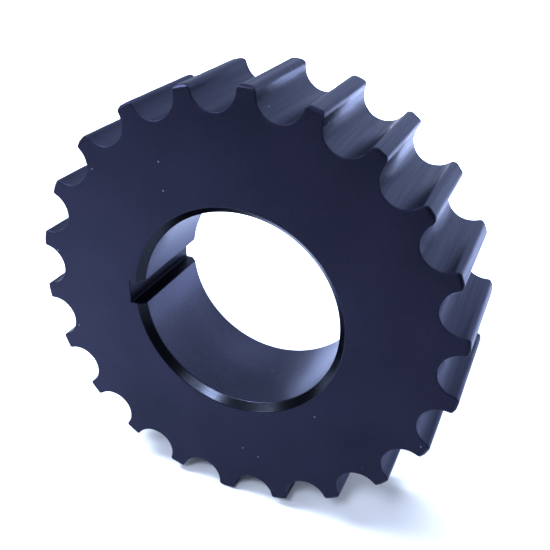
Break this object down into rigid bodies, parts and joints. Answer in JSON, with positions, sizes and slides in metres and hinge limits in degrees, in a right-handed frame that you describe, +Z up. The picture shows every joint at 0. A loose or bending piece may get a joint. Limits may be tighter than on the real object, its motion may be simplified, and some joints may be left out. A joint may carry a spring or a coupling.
{
  "type": "timing belt pulley",
  "caption": "Flangeless timing belt pulley with round-bottomed belt grooves, a plain through bore and one keyway, machined in one piece and anodised black.",
  "frame": {"origin": "the wheel's centre, on the bore's axis and halfway between the two faces", "axes": "+Y along the axis that the wheel turns on, from the front face to the rear face; +Z up, with a tooth at the top and one at the bottom; the keyway opens on the -X side"},
  "size_m": [0.0542, 0.015, 0.0546],
  "materials": {
    "black_anodised_aluminium": "satin black anodised"
  },
  "bodies": {
    "root": {"toothed_pulley": "black_anodised_aluminium"}
  },
  "joints": []
}
